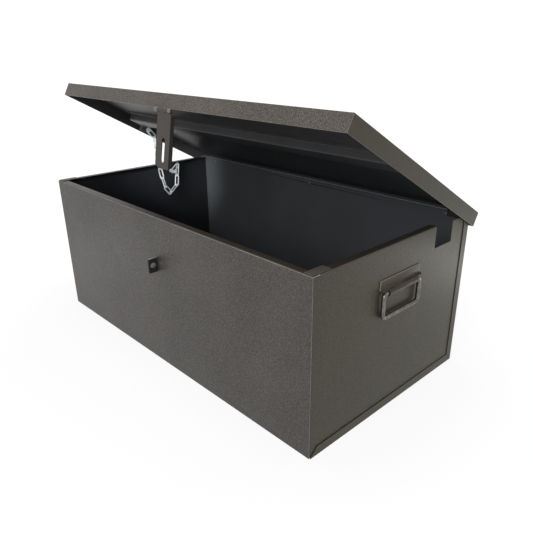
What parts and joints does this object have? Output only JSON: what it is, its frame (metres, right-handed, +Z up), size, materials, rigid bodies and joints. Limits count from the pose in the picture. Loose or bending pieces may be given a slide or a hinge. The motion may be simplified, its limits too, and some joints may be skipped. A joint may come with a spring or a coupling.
{
  "type": "jobsite storage box",
  "caption": "Sheet steel jobsite storage box with a hinged overhanging lid on a stay chain, a swinging hasp over a padlock staple, drop handles and a notched side wall.",
  "frame": {"origin": "middle of the underside of the box's walls, on the ground", "axes": "+Z up, front wall facing -Y, +X to the right as seen from the front"},
  "size_m": [1.2558, 0.7124, 0.7953],
  "materials": {
    "body_paint": "satin hammered powder coat",
    "side_paint": "satin hammered powder coat",
    "lid_paint": "satin hammered powder coat",
    "dark_steel": "painted steel, worn on its edges",
    "steel": "dull steel",
    "zinc": "bright zinc plate"
  },
  "bodies": {
    "box": {"floor_panel": "body_paint", "front_panel": "body_paint", "back_panel": "body_paint", "left_side_panel": "side_paint", "right_side_panel": "side_paint", "left_corner_plate": "body_paint", "right_corner_plate": "body_paint", "lock_staple": "dark_steel", "hinge_body_leaf": "dark_steel", "hinge_pin": "steel", "left_handle_bracket": "side_paint", "right_handle_bracket": "side_paint", "body_rivet_left": "steel", "body_rivet_middle": "steel", "body_rivet_right": "steel", "chain_wall_bolt": "zinc", "chain_wall_nut": "zinc", "chain_lock_nut": "zinc"},
    "lid": {"lid_skin": "lid_paint", "lid_rib": "lid_paint", "hinge_lid_leaf": "dark_steel", "chain_bracket": "lid_paint", "hasp_leaf": "dark_steel", "lid_rivet_left": "steel", "lid_rivet_middle": "steel", "lid_rivet_right": "steel", "chain_lid_bolt": "zinc", "chain_lid_nut": "zinc", "hasp_pin": "steel"},
    "hasp": {"hasp_plate": "dark_steel"},
    "left_handle": {"left_bail": "steel"},
    "right_handle": {"right_bail": "steel"},
    "chain_link_01": {"chain_link_01": "zinc"},
    "chain_link_02": {"chain_link_02": "zinc"},
    "chain_link_03": {"chain_link_03": "zinc"},
    "chain_link_04": {"chain_link_04": "zinc"},
    "chain_link_05": {"chain_link_05": "zinc"},
    "chain_link_06": {"chain_link_06": "zinc"},
    "chain_link_07": {"chain_link_07": "zinc"},
    "chain_link_08": {"chain_link_08": "zinc"},
    "chain_link_09": {"chain_link_09": "zinc"},
    "chain_link_10": {"chain_link_10": "zinc"},
    "chain_link_11": {"chain_link_11": "zinc"}
  },
  "joints": [
    {"name": "lid_hinge", "type": "hinge", "parent": "box", "child": "lid", "pos_m": [0, 0.3293, 0.4347], "axis": [-1, 0, 0], "range_deg": [-28.8, 66.2]},
    {"name": "hasp_hinge", "type": "hinge", "parent": "lid", "child": "hasp", "pos_m": [0, -0.25528, 0.75379], "axis": [1, 0, 0], "range_deg": [-30.74, 70.01]},
    {"name": "left_handle_lift", "type": "hinge", "parent": "box", "child": "left_handle", "pos_m": [-0.6191, 0, 0.357], "axis": [0, 1, 0], "range_deg": [0, 90]},
    {"name": "right_handle_lift", "type": "hinge", "parent": "box", "child": "right_handle", "pos_m": [0.6191, 0, 0.357], "axis": [0, -1, 0], "range_deg": [0, 90]},
    {"name": "chain_joint_01", "type": "hinge", "parent": "lid", "child": "chain_link_01", "pos_m": [-0.5585, 0.02636, 0.61722], "axis": [1, 0, 0], "range_deg": [-1.03, 0.73]},
    {"name": "chain_joint_02", "type": "hinge", "parent": "chain_link_01", "child": "chain_link_02", "pos_m": [-0.55846, 0.04807, 0.59041], "axis": [1, 0, 0], "range_deg": [-16.2, 36.58]},
    {"name": "chain_joint_03", "type": "hinge", "parent": "chain_link_02", "child": "chain_link_03", "pos_m": [-0.5585, 0.05243, 0.54462], "axis": [1, 0, 0], "range_deg": [-3.21, 1.68]},
    {"name": "chain_joint_04", "type": "hinge", "parent": "chain_link_03", "child": "chain_link_04", "pos_m": [-0.55897, 0.05658, 0.50886], "axis": [1, 0, 0], "range_deg": [-3.21, 1.68]},
    {"name": "chain_joint_05", "type": "hinge", "parent": "chain_link_04", "child": "chain_link_05", "pos_m": [-0.56008, 0.06331, 0.46337], "axis": [1, 0, 0], "range_deg": [-4.07, 2.06]},
    {"name": "chain_joint_06", "type": "hinge", "parent": "chain_link_05", "child": "chain_link_06", "pos_m": [-0.5617, 0.07053, 0.42813], "axis": [1, 0, 0], "range_deg": [-7.65, 3.61]},
    {"name": "chain_joint_07", "type": "hinge", "parent": "chain_link_06", "child": "chain_link_07", "pos_m": [-0.56539, 0.08497, 0.38462], "axis": [1, 0, 0], "range_deg": [-24.53, 10.95]},
    {"name": "chain_joint_08", "type": "hinge", "parent": "chain_link_07", "child": "chain_link_08", "pos_m": [-0.5702, 0.10847, 0.35777], "axis": [1, 0, 0], "range_deg": [-80.2, 35.18]},
    {"name": "chain_joint_09", "type": "hinge", "parent": "chain_link_08", "child": "chain_link_09", "pos_m": [-0.57591, 0.14538, 0.38462], "axis": [1, 0, 0], "range_deg": [-29.69, 13.2]},
    {"name": "chain_joint_10", "type": "hinge", "parent": "chain_link_09", "child": "chain_link_10", "pos_m": [-0.58776, 0.15759, 0.41635], "axis": [1, 0, 0], "range_deg": [-73.92, 32.44]},
    {"name": "chain_joint_11", "type": "hinge", "parent": "box", "child": "chain_link_11", "pos_m": [-0.5944, 0.142, 0.438], "axis": [1, 0, 0], "range_deg": [-1.1, 0.76]}
  ],
  "couplings": [
    {"joint": "hasp_hinge", "follows": "lid_hinge", "ratio": 1.05},
    {"joint": "chain_joint_01", "follows": "lid_hinge", "ratio": -0.008},
    {"joint": "chain_joint_02", "follows": "lid_hinge", "ratio": 0.545},
    {"joint": "chain_joint_03", "follows": "lid_hinge", "ratio": -0.041},
    {"joint": "chain_joint_04", "follows": "lid_hinge", "ratio": -0.041},
    {"joint": "chain_joint_05", "follows": "lid_hinge", "ratio": -0.054},
    {"joint": "chain_joint_06", "follows": "lid_hinge", "ratio": -0.108},
    {"joint": "chain_joint_07", "follows": "lid_hinge", "ratio": -0.363},
    {"joint": "chain_joint_08", "follows": "lid_hinge", "ratio": -1.204},
    {"joint": "chain_joint_09", "follows": "lid_hinge", "ratio": -0.441},
    {"joint": "chain_joint_10", "follows": "lid_hinge", "ratio": -1.109},
    {"joint": "chain_joint_11", "follows": "lid_hinge", "ratio": -0.009}
  ]
}
